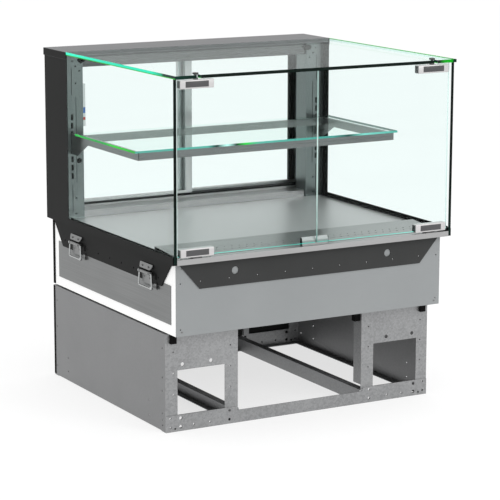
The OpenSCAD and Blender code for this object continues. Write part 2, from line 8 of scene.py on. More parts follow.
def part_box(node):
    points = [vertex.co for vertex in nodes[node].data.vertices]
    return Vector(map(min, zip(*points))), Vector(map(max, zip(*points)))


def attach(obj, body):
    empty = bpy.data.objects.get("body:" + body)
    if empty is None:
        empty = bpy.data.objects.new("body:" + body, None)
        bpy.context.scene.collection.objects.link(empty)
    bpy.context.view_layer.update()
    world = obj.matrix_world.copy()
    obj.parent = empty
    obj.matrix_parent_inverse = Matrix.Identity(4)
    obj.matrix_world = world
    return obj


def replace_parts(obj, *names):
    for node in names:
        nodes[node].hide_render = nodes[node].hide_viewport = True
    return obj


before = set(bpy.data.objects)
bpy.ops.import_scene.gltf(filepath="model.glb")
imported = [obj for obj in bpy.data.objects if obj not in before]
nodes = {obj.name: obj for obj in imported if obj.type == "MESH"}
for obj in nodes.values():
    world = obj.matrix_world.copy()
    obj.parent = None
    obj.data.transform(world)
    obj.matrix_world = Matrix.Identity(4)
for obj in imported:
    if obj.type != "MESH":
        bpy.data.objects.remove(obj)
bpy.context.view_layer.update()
print("frame loaded,", len(nodes), "nodes")


class Wire:
    # an output socket, so that shader maths reads as maths
    def __init__(self, finish, socket):
        self.finish = finish
        self.socket = socket

    def maths(self, operation, first, second):
        return self.finish.add("ShaderNodeMath", {"operation": operation}, {0: first, 1: second})

    def __add__(self, other):
        return self.maths("ADD", self, other)

    def __sub__(self, other):
        return self.maths("SUBTRACT", self, other)

    def __rsub__(self, other):
        return self.maths("SUBTRACT", other, self)

    def __mul__(self, other):
        return self.maths("MULTIPLY", self, other)

    __radd__ = __add__
    __rmul__ = __mul__

    def above(self, level):
        return self.maths("GREATER_THAN", self, level)


class Finish:
    def __init__(self, name):
        self.material = bpy.data.materials.new(name)
        self.material.use_nodes = True
        self.tree = self.material.node_tree
        self.tree.nodes.clear()
        self.place = self.add("ShaderNodeTexCoord", output="Object")

    def add(self, kind, settings=None, values=None, output=0):
        node = self.tree.nodes.new(kind)
        for key, value in (settings or {}).items():
            if key == "stops":
                ramp = node.color_ramp.elements
                while len(ramp) < len(value):
                    ramp.new(1.0)
                for stop, (position, colour) in zip(ramp, value):
                    stop.position = position
                    stop.color = (*colour, 1.0)
            else:
                setattr(node, key, value)
        for key, value in (values or {}).items():
            if isinstance(value, Wire):
                self.tree.links.new(value.socket, node.inputs[key])
            else:
                node.inputs[key].default_value = value
        return Wire(self, node.outputs[output]) if node.outputs else None

    def noise(self, scale, detail=3.0, stretch=(1, 1, 1), roughness=0.5):
        mapped = self.add("ShaderNodeMapping", None, {"Vector": self.place, "Scale": stretch})
        return self.add("ShaderNodeTexNoise", None, {
            "Vector": mapped, "Scale": scale, "Detail": detail, "Roughness": roughness})

    def blend(self, factor, first, second):
        return self.add("ShaderNodeMix", {"data_type": "RGBA"}, {
            0: factor,
            6: first if isinstance(first, Wire) else (*first, 1.0),
            7: second if isinstance(second, Wire) else (*second, 1.0)}, output=2)

    def relief(self, height, strength, distance):
        return self.add("ShaderNodeBump", None, {
            "Height": height, "Strength": strength, "Distance": distance})

    def shader(self, values):
        return self.add("ShaderNodeBsdfPrincipled", None, {
            key: (*value, 1.0) if isinstance(value, tuple) else value
            for key, value in values.items()})

    def close(self, surface):
        self.add("ShaderNodeOutputMaterial", None, {"Surface": surface})
        return self.material


steelGrain = {"streaks": 7.0, "detail": 4.0, "breakUp": 0.65, "clouds": 2.6, "cloudShare": 0.3,
              "gloss": 0.18, "relief": 0.1, "depth": 0.0003}


def brushedSteel(name, dark, light, roughness, stretch, metallic=1.0):
    f = Finish(name)
    streak = f.noise(steelGrain["streaks"], steelGrain["detail"], stretch, steelGrain["breakUp"])
    cloud = f.noise(steelGrain["clouds"], 2.0)
    share = steelGrain["cloudShare"]
    tone = f.blend(streak * (1 - share) + cloud * share, dark, light)
    return f.close(f.shader({
        "Base Color": tone, "Metallic": metallic,
        "Roughness": streak * steelGrain["gloss"] + (roughness - steelGrain["gloss"] / 2),
        "Normal": f.relief(streak, steelGrain["relief"], steelGrain["depth"])}))


sheetGrain = {"flakes": 210.0, "grains": 900.0, "clouds": 5.0,
              "flakeShare": 0.35, "grainShare": 0.3, "cloudShare": 0.35,
              "metallic": 0.75, "roughness": 0.4, "gloss": 0.16, "relief": 0.06, "depth": 0.0002}


def galvanisedSheet(name, dark, light):
    f = Finish(name)
    cell = f.add("ShaderNodeTexVoronoi", None, {"Vector": f.place, "Scale": sheetGrain["flakes"]},
                 output="Color")
    flake = f.add("ShaderNodeSeparateColor", None, {0: cell})
    grain = f.noise(sheetGrain["grains"], 2.0)
    cloud = f.noise(sheetGrain["clouds"], 3.0)
    mixed = (flake * sheetGrain["flakeShare"] + grain * sheetGrain["grainShare"]
             + cloud * sheetGrain["cloudShare"])
    return f.close(f.shader({
        "Base Color": f.blend(mixed, dark, light), "Metallic": sheetGrain["metallic"],
        "Roughness": sheetGrain["roughness"] + flake * sheetGrain["gloss"],
        "Normal": f.relief(flake + grain, sheetGrain["relief"], sheetGrain["depth"])}))


coatGrain = {"clouds": 6.0, "gloss": 0.1, "depth": 0.0002}


def coating(name, dark, light, roughness, shine=0.35, grain=1300.0, relief=0.12):
    f = Finish(name)
    orangePeel = f.noise(grain, 2.0)
    cloud = f.noise(coatGrain["clouds"], 3.0)
    return f.close(f.shader({
        "Base Color": f.blend(cloud, dark, light), "Specular IOR Level": shine,
        "Roughness": orangePeel * coatGrain["gloss"] + (roughness - coatGrain["gloss"] / 2),
        "Normal": f.relief(orangePeel, relief, coatGrain["depth"])}))


paneGloss = {"haze": 3.0, "polish": 0.01, "smear": 0.02, "glancing": 0.16, "facing": 0.003}


def clearGlass(name, tint, gleam):
    # what comes through the pane, and a gloss that grows at a glancing view
    f = Finish(name)
    haze = f.noise(paneGloss["haze"], 2.0)
    gloss = f.shader({"Base Color": gleam, "Metallic": 1.0,
                      "Roughness": paneGloss["polish"] + haze * paneGloss["smear"]})
    through = f.add("ShaderNodeBsdfTransparent", None, {"Color": (*tint, 1.0)})
    graze = f.add("ShaderNodeLayerWeight", None, {"Blend": 0.5}, output="Facing")
    squared = graze * graze
    share = squared * squared * graze * paneGloss["glancing"] + paneGloss["facing"]
    return f.close(f.add("ShaderNodeMixShader", None, {0: share, 1: through, 2: gloss}))


rimPolish = {"wander": 9.0, "roughness": 0.2, "gloss": 0.1, "shine": 0.1}


def glassEdge(name, stops, along, start, span, wave=0.12, glow=0.12, under=None):
    # a ground edge, green with painted light: its colour runs along one axis from start over span, bright
    # where lit and dark where shaded, with a painted glow from its emission; under is a height and a colour
    # for the line of painted light along its lower corner
    f = Finish(name)
    distance = f.add("ShaderNodeSeparateXYZ", None, {0: f.place}, output=along)
    wander = f.noise(rimPolish["wander"], 3.0)
    tone = f.add("ShaderNodeValToRGB", {"stops": stops}, {
        0: (distance - start) * (1.0 / span) + (wander - 0.5) * wave})
    if under:
        height = f.add("ShaderNodeSeparateXYZ", None, {0: f.place}, output=2)
        tone = f.blend(height.above(under[0]), under[1], tone)
    return f.close(f.shader({
        "Base Color": tone, "Specular IOR Level": rimPolish["shine"],
        "Roughness": rimPolish["roughness"] + wander * rimPolish["gloss"],
        "Emission Color": tone, "Emission Strength": glow}))


# brushed metals: material, dark and light tone, roughness, stretch of the streaks, metallic
across, deep, upward = (0.4, 60, 60), (60, 0.4, 60), (60, 60, 0.4)
metals = {
    "steelX": ("brushedSteelAcross", (0.11, 0.113, 0.113), (0.25, 0.255, 0.255), 0.30, across),
    "steelY": ("brushedSteelDeep", (0.11, 0.113, 0.113), (0.25, 0.255, 0.255), 0.30, deep),
    "steelZ": ("brushedSteelUpright", (0.11, 0.113, 0.113), (0.25, 0.255, 0.255), 0.30, upward),
    "sideSteel": ("brushedSteelSide", (0.10, 0.105, 0.105), (0.30, 0.305, 0.305), 0.34, deep),
    "deck": ("brushedSteelDeck", (0.44, 0.428, 0.432), (0.62, 0.602, 0.606), 0.40, across, 0.8),
    "sill": ("brushedSteelSill", (0.27, 0.265, 0.266), (0.40, 0.39, 0.392), 0.33, across),
    "strip": ("brushedSteelStrip", (0.22, 0.22, 0.22), (0.43, 0.425, 0.425), 0.30, across),
    # the header rail and the uprights get darker copies of the brushed steel, as painted shade inside the
    # case; the uprights' copy also has a green cast
    "header": ("brushedSteelHeader", (0.06, 0.062, 0.062), (0.16, 0.162, 0.162), 0.26, across),
    "upright": ("brushedSteelUprights", (0.115, 0.132, 0.13), (0.2, 0.225, 0.222), 0.32, (1.2, 160, 160)),
    "catch": ("satinCatch", (0.28, 0.28, 0.28), (0.40, 0.40, 0.40), 0.42, (0.4, 90, 90)),
    "aluminium": ("satinAluminium", (0.33, 0.33, 0.33), (0.45, 0.45, 0.45), 0.34, (0.4, 90, 90)),
    "frameAluminium": ("satinAluminiumFrames", (0.34, 0.345, 0.345), (0.54, 0.545, 0.545), 0.32,
                       (90, 90, 0.4)),
    "clamp": ("satinClamp", (0.50, 0.49, 0.49), (0.62, 0.61, 0.61), 0.36, (1, 30, 30), 0.5),
    "clampEnd": ("darkClampEnd", (0.05, 0.052, 0.052), (0.12, 0.122, 0.122), 0.4, (1, 30, 30), 0.6),
    "wire": ("brightWire", (0.30, 0.31, 0.31), (0.55, 0.56, 0.56), 0.24, (30, 30, 30)),
    "darkSteel": ("darkSteel", (0.05, 0.05, 0.05), (0.14, 0.14, 0.14), 0.34, (20, 20, 20)),
    # the seams' near black is painted shade
    "seam": ("pressedSeam", (0.02, 0.022, 0.022), (0.05, 0.052, 0.052), 0.4, (20, 20, 20)),
    "handle": ("zincPlate", (0.16, 0.162, 0.162), (0.32, 0.325, 0.325), 0.38, (20, 20, 20)),
    "screw": ("screwHead", (0.12, 0.12, 0.12), (0.30, 0.30, 0.30), 0.3, (40, 40, 40)),
    "heater": ("heaterTube", (0.10, 0.08, 0.06), (0.22, 0.19, 0.16), 0.45, (8, 40, 40)),
}

# galvanised sheets: material, dark and light tone
zincSheets = {
    "galvanised": ("galvanisedSheet", (0.17, 0.172, 0.175), (0.41, 0.415, 0.42)),
    # the base sides get a darker copy of the galvanised sheet, as painted shade on the sides turned from the
    # light
    "shadedGalvanisedSide": ("galvanisedSideSheet", (0.17, 0.172, 0.175), (0.29, 0.292, 0.295)),
}

# coats and plastics: material, two close tones, roughness, shine, size and height of the grain
coats = {
    "blackCoat": ("blackPowderCoat", (0.0065, 0.0068, 0.0066), (0.0095, 0.0098, 0.0096), 0.5, 0.08),
    # the front skirt gets a lighter copy of the black skirt coat, as painted light on its front face
    "litFrontSkirt": ("frontSkirtCoat", (0.036, 0.0368, 0.0366), (0.048, 0.049, 0.0487), 0.5, 0.1),
    "blackSkirt": ("blackSkirtCoat", (0.0055, 0.0058, 0.0056), (0.0085, 0.0088, 0.0086), 0.5, 0.08),
    "blackPlastic": ("blackPlastic", (0.003, 0.003, 0.003), (0.006, 0.006, 0.006), 0.4, 0.12, 500.0, 0.05),
    "rubber": ("blackRubber", (0.003, 0.003, 0.003), (0.006, 0.006, 0.006), 0.8, 0.08, 700.0, 0.2),
    "frontPaint": ("greyFrontPaint", (0.245, 0.258, 0.262), (0.285, 0.298, 0.302), 0.42),
    "board": ("insulationBoard", (0.93, 0.93, 0.925), (0.97, 0.97, 0.965), 0.85, 0.35, 420.0, 0.3),
    "cap": ("greyCapPaint", (0.112, 0.114, 0.118), (0.135, 0.137, 0.141), 0.45, 0.2),
    "control": ("greyControlPaint", (0.25, 0.26, 0.26), (0.29, 0.30, 0.30), 0.4),
    "lampWhite": ("whiteLampPaint", (0.70, 0.70, 0.68), (0.78, 0.78, 0.76), 0.35),
    "rocker": ("redRocker", (0.22, 0.02, 0.015), (0.28, 0.03, 0.02), 0.2, 0.35, 300.0, 0.02),
    "plate": ("darkPlate", (0.05, 0.05, 0.052), (0.085, 0.085, 0.088), 0.35),
    "paper": ("thermometerCard", (0.80, 0.82, 0.82), (0.88, 0.90, 0.90), 0.5, 0.35, 300.0, 0.02),
    "blue": ("thermometerBlue", (0.05, 0.16, 0.45), (0.07, 0.20, 0.55), 0.5, 0.35, 300.0, 0.02),
    "red": ("thermometerRed", (0.50, 0.06, 0.05), (0.60, 0.08, 0.06), 0.5, 0.35, 300.0, 0.02),
}

# panes: material, tint of what comes through, colour of the gloss
panes = {
    "glass": ("clearPane", (0.966, 0.990, 0.986), (0.9, 1.0, 0.97)),
    "shelfGlass": ("shelfPane", (0.955, 0.985, 0.975), (0.85, 1.0, 0.93)),
}

# ground glass edges, green with painted light and shade and a painted glow: colour stops along an axis (0
# across, 1 deep, 2 up) from start over span
rims = {
    "edgeDark": {"along": 0, "start": -0.457, "span": 0.914, "wave": 0.02, "stops": [
        (0.0, (0.003, 0.03, 0.02)), (0.1, (0.001, 0.006, 0.004)), (0.935, (0.001, 0.006, 0.004)),
        (0.955, (0.004, 0.30, 0.01)), (0.98, (0.003, 0.33, 0.01)), (0.988, (0.001, 0.02, 0.01))]},
    "edgeUpright": {"along": 2, "start": 0.5, "span": 0.5, "stops": [
        (0.0, (0.001, 0.010, 0.007)), (0.4, (0.0006, 0.003, 0.002)), (1.0, (0.0008, 0.005, 0.004))]},
    "edgeTeal": {"along": 1, "start": -0.431, "span": 0.7, "wave": 0.03, "glow": 0.32,
                 "under": (1.0112, (0.02, 0.34, 0.03)), "stops": [
        (0.0, (0.001, 0.015, 0.01)), (0.10, (0.002, 0.03, 0.02)), (0.12, (0.01, 0.30, 0.16)),
        (0.2, (0.015, 0.62, 0.38)), (0.6, (0.018, 0.58, 0.37)), (1.0, (0.03, 0.78, 0.50))]},
    "edgeGreen": {"along": 1, "start": -0.15, "span": 0.4, "wave": 0.5, "stops": [
        (0.0, (0.01, 0.42, 0.03)), (0.3, (0.02, 0.58, 0.02)), (0.6, (0.01, 0.34, 0.05)),
        (1.0, (0.01, 0.48, 0.05))]},
    "edgePaleGreen": {"along": 1, "start": -0.431, "span": 0.7, "wave": 0.1, "glow": 0.15,
                      "under": (1.0150, (0.80, 0.93, 0.89)), "stops": [
        (0.0, (0.02, 0.30, 0.03)), (0.12, (0.10, 0.50, 0.12)), (1.0, (0.14, 0.55, 0.17))]},
    "edgeDim": {"along": 0, "start": -0.45, "span": 0.9, "stops": [
        (0.0, (0.20, 0.27, 0.26)), (1.0, (0.28, 0.34, 0.33))]},
    "edgePale": {"along": 2, "start": 0.5, "span": 0.5, "wave": 0.4, "glow": 0.2, "stops": [
        (0.0, (0.72, 0.84, 0.82)), (1.0, (0.80, 0.90, 0.88))]},
    "edgeShelf": {"along": 0, "start": -0.441, "span": 0.882, "wave": 0.05, "glow": 0.2, "stops": [
        (0.0, (0.08, 0.34, 0.28)), (0.26, (0.10, 0.40, 0.33)), (0.30, (0.003, 0.02, 0.015)),
        (0.34, (0.50, 0.88, 0.80)), (0.37, (0.003, 0.02, 0.015)), (0.41, (0.03, 0.60, 0.06)),
        (0.46, (0.10, 0.40, 0.33)), (0.74, (0.06, 0.30, 0.26)), (0.80, (0.01, 0.06, 0.05)),
        (0.86, (0.20, 0.60, 0.52)), (1.0, (0.08, 0.36, 0.30))]},
    "edgeSeam": {"along": 2, "start": 0.5, "span": 0.5, "wave": 1.2, "glow": 0.2, "stops": [
        (0.0, (0.16, 0.30, 0.27)), (0.3, (0.50, 0.66, 0.62)), (0.7, (0.60, 0.74, 0.70)),
        (1.0, (0.34, 0.48, 0.45))]},
    "edgeDoorFoot": {"along": 0, "start": -0.44, "span": 0.88, "wave": 0.8, "glow": 0.3, "stops": [
        (0.0, (0.14, 0.74, 0.62)), (0.5, (0.08, 0.52, 0.44)), (1.0, (0.16, 0.76, 0.64))]},
}

finishes = {key: glassEdge(key, **values) for key, values in rims.items()}
for make, table in ((brushedSteel, metals), (galvanisedSheet, zincSheets), (coating, coats),
                    (clearGlass, panes)):
    for key, values in table.items():
        finishes[key] = make(*values)
print("finishes made,", len(finishes))

wornBy = {
    "shadedGalvanisedSide": ["base_sides"],
    "galvanised": ["base_front_leg_left", "base_front_leg_right", "base_rear_legs",
                   "base_front_rail", "base_rear_rail", "base_channels", "body_floor", "blower_housing"],
    "blackCoat": ["base_rear_cover", "body_rear_panel", "end_panel_left", "end_panel_right"],
    "litFrontSkirt": ["skirt_front"],
    "blackSkirt": ["skirt_sides", "side_channels"],
    "rubber": ["isolation_blocks"],
    "blackPlastic": ["thermostat_knob", "power_inlet", "door_tracks", "rear_door_pull_left",
                     "rear_door_pull_right", "blower_wheel"],
    "frontPaint": ["body_front_panel"],
    "board": ["body_boards"],
    "steelX": ["shelf_frame", "handle_plates"],
    "upright": ["upright_left", "upright_right"],
    "sill": ["rear_sill"],
    "strip": ["air_strip"],
    "header": ["header_rail"],
    "catch": ["door_catch"],
    "steelY": ["shelf_brackets"],
    "sideSteel": ["body_side_plates"],
    "steelZ": ["door_pivots"],
    "deck": ["deck_pan"],
    "heater": ["heater_element"],
    "control": ["control_box"],
    "rocker": ["power_switch"],
    "aluminium": ["front_rail"],
    "frameAluminium": ["rear_door_frame_left", "rear_door_frame_right"],
    "cap": ["top_cap"],
    "lampWhite": ["lamp_bar"],
    "glass": ["side_pane_left", "side_pane_right", "top_pane", "front_door_left",
              "front_door_right", "rear_door_pane_left", "rear_door_pane_right"],
    "shelfGlass": ["shelf_pane"],
    "clamp": ["hinge_clamps_left", "hinge_clamps_right"],
    "wire": ["bail_front_left", "bail_rear_left", "bail_front_right", "bail_rear_right"],
}
for finishName, wearers in wornBy.items():
    for wearer in wearers:
        materialSlotsAndShadowBlocks = nodes[wearer].data.materials
        materialSlotsAndShadowBlocks.clear()
        materialSlotsAndShadowBlocks.append(finishes[finishName])
print("frame dressed")


def block(mesh, corner, opposite, rounding=0.0, segments=2):
    made = bmesh.ops.create_cube(mesh, size=1.0)["verts"]
    low = Vector([min(pair) for pair in zip(corner, opposite)])
    high = Vector([max(pair) for pair in zip(corner, opposite)])
    bmesh.ops.scale(mesh, vec=high - low, verts=made)
    bmesh.ops.translate(mesh, vec=(high + low) / 2, verts=made)
    if rounding:
        edges = list({e for v in made for e in v.link_edges})
        bmesh.ops.bevel(mesh, geom=edges, offset=rounding, offset_type="OFFSET", segments=segments,
                        profile=0.5, affect="EDGES", material=-1, clamp_overlap=True)


def merged(target, part, turn):
    # adds a part to the target mesh after turning it into place
    part.transform(turn)
    loose = bpy.data.meshes.new("loose")
    part.to_mesh(loose)
    part.free()
    target.from_mesh(loose)
    bpy.data.meshes.remove(loose)


def aim(place, direction):
    turn = Vector((0, 0, 1)).rotation_difference(Vector(direction)).to_matrix().to_4x4()
    return Matrix.Translation(place) @ turn


def lathe(mesh, place, direction, profile, steps=24):
    # a turned shape: profile is (radius, height) along direction, closed on the axis
    part = bmesh.new()
    points = [part.verts.new((radius, 0, height)) for radius, height in profile]
    edges = [part.edges.new(pair) for pair in zip(points, points[1:])]
    bmesh.ops.spin(part, geom=points + edges, cent=(0, 0, 0), axis=(0, 0, 1), dvec=(0, 0, 0),
                   angle=2 * pi, steps=steps, use_merge=True, use_duplicate=False)
    bmesh.ops.remove_doubles(part, verts=part.verts, dist=1e-6)
    bmesh.ops.recalc_face_normals(part, faces=part.faces)
    merged(mesh, part, aim(place, direction))


def screw(mesh, place, direction, radius, height):
    # a pan head with a round socket
    lathe(mesh, place, direction, [
        (0, -0.0002), (radius, -0.0002), (radius, height * 0.45), (radius * 0.82, height * 0.9),
        (radius * 0.5, height), (radius * 0.36, height), (radius * 0.3, height * 0.35),
        (0, height * 0.35)], 14)


def piece(name, mesh, finish, body, sharp=35.0):
    data = bpy.data.meshes.new(name)
    mesh.to_mesh(data)
    mesh.free()
    for item in finish if isinstance(finish, list) else [finish]:
        data.materials.append(finishes[item])
    data.polygons.foreach_set("use_smooth", [True] * len(data.polygons))
    data.set_sharp_from_angle(angle=radians(sharp))
    made = bpy.data.objects.new(name, data)
    bpy.context.scene.collection.objects.link(made)
    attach(made, body)
    return made


def wireLoop(corners, radius, bend, steps=6):
    # a closed loop of wire through corners, each rounded over the bend
    points = []
    for i, corner in enumerate(corners):
        corner = Vector(corner)
        back = (Vector(corners[i - 1]) - corner).normalized()
        ahead = (Vector(corners[(i + 1) % len(corners)]) - corner).normalized()
        for step in range(steps + 1):
            t = step / steps
            points.append(corner + back * bend * (1 - t) ** 2 + ahead * bend * t ** 2)
    curve = bpy.data.curves.new("bend", "CURVE")
    curve.dimensions = "3D"
    curve.bevel_depth = radius
    curve.bevel_resolution = 2
    curve.use_fill_caps = True
    spline = curve.splines.new("POLY")
    spline.points.add(len(points) - 1)
    for target, point in zip(spline.points, points):
        target.co = (*point, 1.0)
    spline.use_cyclic_u = True
    holder = bpy.data.objects.new("bend", curve)
    bpy.context.scene.collection.objects.link(holder)
    data = bpy.data.meshes.new_from_object(holder)
    bpy.data.objects.remove(holder)
    bpy.data.curves.remove(curve)
    mesh = bmesh.new()
    mesh.from_mesh(data)
    bpy.data.meshes.remove(data)
    bmesh.ops.remove_doubles(mesh, verts=mesh.verts, dist=1e-6)
    bmesh.ops.recalc_face_normals(mesh, faces=mesh.faces)
    return mesh


edgeBands = {"proud": 0.00006, "border": 0.0003, "cutDepth": 0.002}


def edgeBand(name, node, body, thin, sides, cuts=()):
    # the polished rim of a pane; sides names the finish of each (axis, low or high) side,
    # an edge finish with painted light; a side that isn't named stays bare, and cuts are notches as (centre,
    # half width)
    low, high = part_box(node)
    grow = Vector((edgeBands["proud"],) * 3)
    low, high = low - grow, high + grow
    mesh = bmesh.new()
    block(mesh, low, high)
    mesh.faces.ensure_lookup_table()
    broad = [f for f in mesh.faces if abs(f.normal[thin]) > 0.9]
    bmesh.ops.inset_individual(mesh, faces=broad, thickness=edgeBands["border"], use_even_offset=True)
    bmesh.ops.delete(mesh, geom=broad, context="FACES")
    for centre, width in cuts:
        for edge in (centre - width, centre + width):
            bmesh.ops.bisect_plane(mesh, geom=mesh.verts[:] + mesh.edges[:] + mesh.faces[:],
                                   plane_co=(edge, 0, 0), plane_no=(1, 0, 0))
        gone = [f for f in mesh.faces if abs(f.calc_center_median().x - centre) < width
                and f.calc_center_median().y < low.y + edgeBands["cutDepth"]]
        bmesh.ops.delete(mesh, geom=gone, context="FACES")
    flat = [axis for axis in range(3) if axis != thin]
    names = list(sides)
    bare = []
    for f in mesh.faces:
        middle = f.calc_center_median()
        gaps = {}
        for axis in flat:
            gaps[(axis, 0)] = middle[axis] - low[axis]
            gaps[(axis, 1)] = high[axis] - middle[axis]
        nearest = min(gaps, key=gaps.get)
        if nearest in names:
            f.material_index = names.index(nearest)
        else:
            bare.append(f)
    bmesh.ops.delete(mesh, geom=bare, context="FACES")
    return piece(name, mesh, [sides[n] for n in names], body)


pivotX = 0.385  # how far the pivots stand from the middle
notchHalf = 0.0065  # half the width of the notch round each pivot
edgeBand("topPaneRim", "top_pane", "case", 2,
         {(1, 0): "edgeDark", (0, 0): "edgeTeal", (0, 1): "edgePaleGreen"},
         [(-pivotX, notchHalf), (pivotX, notchHalf)])
doorSides = {
    "left": {(0, 0): "edgePale", (2, 0): "edgeDoorFoot"},
    "right": {(0, 0): "edgeSeam", (0, 1): "edgePale", (2, 0): "edgeDoorFoot"},
}
for side, doorFinishes in doorSides.items():
    edgeBand(side + "PaneRim", "side_pane_" + side, "case", 0, {(1, 0): "edgeUpright"})
    edgeBand(side + "DoorRim", "front_door_" + side, "door_" + side, 1, doorFinishes)
edgeBand("shelfRim", "shelf_pane", "case", 2,
         {(1, 0): "edgeShelf", (0, 0): "edgeGreen", (0, 1): "edgeDim"})
print("glass edges made")


# the clamps that hold the doors' outer corners
clampSet = {"round": 0.0016, "height": 0.024, "plateWide": 0.071, "plateHigh": 0.0165, "plateProud": 0.0006,
            "plateSunk": 0.001, "screwOut": 0.038, "screw": 0.004, "screwHigh": 0.0014,
            "endProud": 0.0006, "endMargin": 0.0022}
for side in ("left", "right"):
    low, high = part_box("hinge_clamps_" + side)
    midX = (low.x + high.x) / 2
    halfWide, halfHigh = clampSet["plateWide"] / 2, clampSet["plateHigh"] / 2
    margin = clampSet["endMargin"]
    covers = bmesh.new()
    plates = bmesh.new()
    ends = bmesh.new()
    for bottom, top in ((low.z, low.z + clampSet["height"]), (high.z - clampSet["height"], high.z)):
        midZ = (bottom + top) / 2
        block(covers, (low.x, low.y, bottom), (high.x, high.y, top), clampSet["round"], 3)
        block(plates, (midX - halfWide, low.y - clampSet["plateProud"], midZ - halfHigh),
              (midX + halfWide, low.y + clampSet["plateSunk"], midZ + halfHigh), 0.0004, 2)
        for s in (-1, 1):
            screw(covers, (midX + s * clampSet["screwOut"], high.y, midZ), (0, 1, 0),
                  clampSet["screw"], clampSet["screwHigh"])
        # dark end faces with the gasket that grips the pane
        for end, t in ((low.x, -1), (high.x, 1)):
            block(ends, (end, low.y + margin, bottom + margin),
                  (end + t * clampSet["endProud"], high.y - margin, top - margin), 0.0003, 1)
    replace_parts(piece(side + "ClampCovers", covers, "clamp", "door_" + side),
                "hinge_clamps_" + side)
    piece(side + "ClampPlates", plates, "plate", "door_" + side)
    piece(side + "ClampEnds", ends, "clampEnd", "door_" + side)

# pivot pins with caps on the top pane and small plates on the front rail
pivotSet = {"pin": 0.004, "pinDown": 0.0265, "bore": 0.0041, "cap": 0.0085, "collar": 0.0075,
            "plateHalf": 0.015, "plateThick": 0.003, "screwOut": 0.010, "screwBack": 0.006, "screw": 0.003,
            "notchWall": 0.0003}
topLow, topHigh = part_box("top_pane")
railLow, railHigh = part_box("front_rail")
clampLow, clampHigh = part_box("hinge_clamps_left")
pivotY = (clampLow.y + clampHigh.y) / 2
plateTop = railHigh.z + pivotSet["plateThick"]
pin, cap, collar = pivotSet["pin"], pivotSet["cap"], pivotSet["collar"]
pins = bmesh.new()
caps = bmesh.new()
walls = bmesh.new()
for x in (-pivotX, pivotX):
    lathe(caps, (x, pivotY, topHigh.z), (0, 0, 1), [
        (0, 0), (0.0078, 0), (cap, 0.0012), (cap, 0.0040), (0.0078, 0.0049), (0.0036, 0.0050),
        (0.0030, 0.0032), (0, 0.0032)], 28)
    lathe(pins, (x, pivotY, topHigh.z), (0, 0, 1), [
        (0, -pivotSet["pinDown"]), (pin, -pivotSet["pinDown"]), (pin, 0), (0, 0)])
    lathe(pins, (x, pivotY, topLow.z), (0, 0, 1), [
        (pivotSet["bore"], 0), (collar, 0), (collar, -0.0034), (0.0066, -0.0041),
        (pivotSet["bore"], -0.0041)])
    block(caps, (x - pivotSet["plateHalf"], railLow.y + 0.0003, railHigh.z),
          (x + pivotSet["plateHalf"], railHigh.y, plateTop), 0.0007, 2)
    lathe(pins, (x, pivotY, plateTop), (0, 0, 1), [
        (0, 0), (0.007, 0), (0.007, 0.0007), (pin, 0.0007), (pin, 0.0138), (0.0034, 0.0144), (0, 0.0144)])
    for s in (-1, 1):
        screw(pins, (x + s * pivotSet["screwOut"], pivotY + pivotSet["screwBack"], plateTop), (0, 0, 1),
              pivotSet["screw"], 0.0009)
    block(walls, (x + notchHalf - pivotSet["notchWall"], topLow.y, topLow.z),
          (x + notchHalf, pivotY, topHigh.z), 0.0001, 1)
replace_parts(piece("pivotPins", pins, "screw", "case"), "door_pivots")
# the notch walls wear the teal edge finish, with its painted light and painted glow
piece("notchWalls", walls, "edgeTeal", "case")
piece("pivotCaps", caps, "darkSteel", "case")

# black caps on the ends of the door catch
catchEnd = {"gap": 0.0001, "thick": 0.0014, "front": 0.001, "foot": 0.0004, "top": 0.002}
catchLow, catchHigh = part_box("door_catch")
mesh = bmesh.new()
for end, s in ((catchLow.x, -1), (catchHigh.x, 1)):
    block(mesh, (end + s * catchEnd["gap"], catchLow.y + catchEnd["front"], catchLow.z + catchEnd["foot"]),
          (end + s * catchEnd["thick"], catchHigh.y, catchHigh.z - catchEnd["top"]), 0.0004, 2)
piece("catchEnds", mesh, "blackPlastic", "case")
print("clamps, pivots and catch made")


# a lift handle: plate and flap on the skirt, lip and ears for the pin, wire bail
handle = {"face": 0.443, "sheet": 0.0016, "corner": 0.004,
          "plateWide": 0.060, "plateFoot": 0.0564, "plateHigh": 0.036, "plateDrop": 0.015,
          "flapWide": 0.080, "flapFoot": 0.064, "flapHigh": 0.0165, "flapRise": 0.0175,
          "flapOut": 0.0062, "flapLean": 66,
          "lipHalf": 0.027, "lipInner": 0.0027, "lipOuter": 0.0048, "earOut": 0.032, "earHalf": 0.006,
          "wire": 0.0025, "bend": 0.006}
# painted shadows of a handle on the skirt, thin black blocks beside it: low and high corner, along Y and up
# from the pin
shadowsBeside = [(-0.059, -0.014, -0.045, 0.004), (-0.064, -0.040, -0.055, -0.020)]


def pressedPlate(wide, foot, high):
    # a flat plate in its own plane, wide at the top, rounded at the corners
    part = bmesh.new()
    bmesh.ops.create_grid(part, x_segments=1, y_segments=1, size=0.5)
    bmesh.ops.scale(part, vec=(wide, high, 1), verts=part.verts)
    bmesh.ops.scale(part, vec=(foot / wide, 1, 1), verts=[v for v in part.verts if v.co.y < 0])
    bmesh.ops.bevel(part, geom=part.verts[:], offset=handle["corner"], segments=3, profile=0.5,
                    affect="VERTICES", material=-1)
    bmesh.ops.solidify(part, geom=part.faces[:], thickness=handle["sheet"])
    bmesh.ops.recalc_face_normals(part, faces=part.faces)
    return part


def tilted(s, degrees):
    return Matrix.Rotation(radians(s * 90), 4, "Z") @ Matrix.Rotation(radians(degrees), 4, "X")


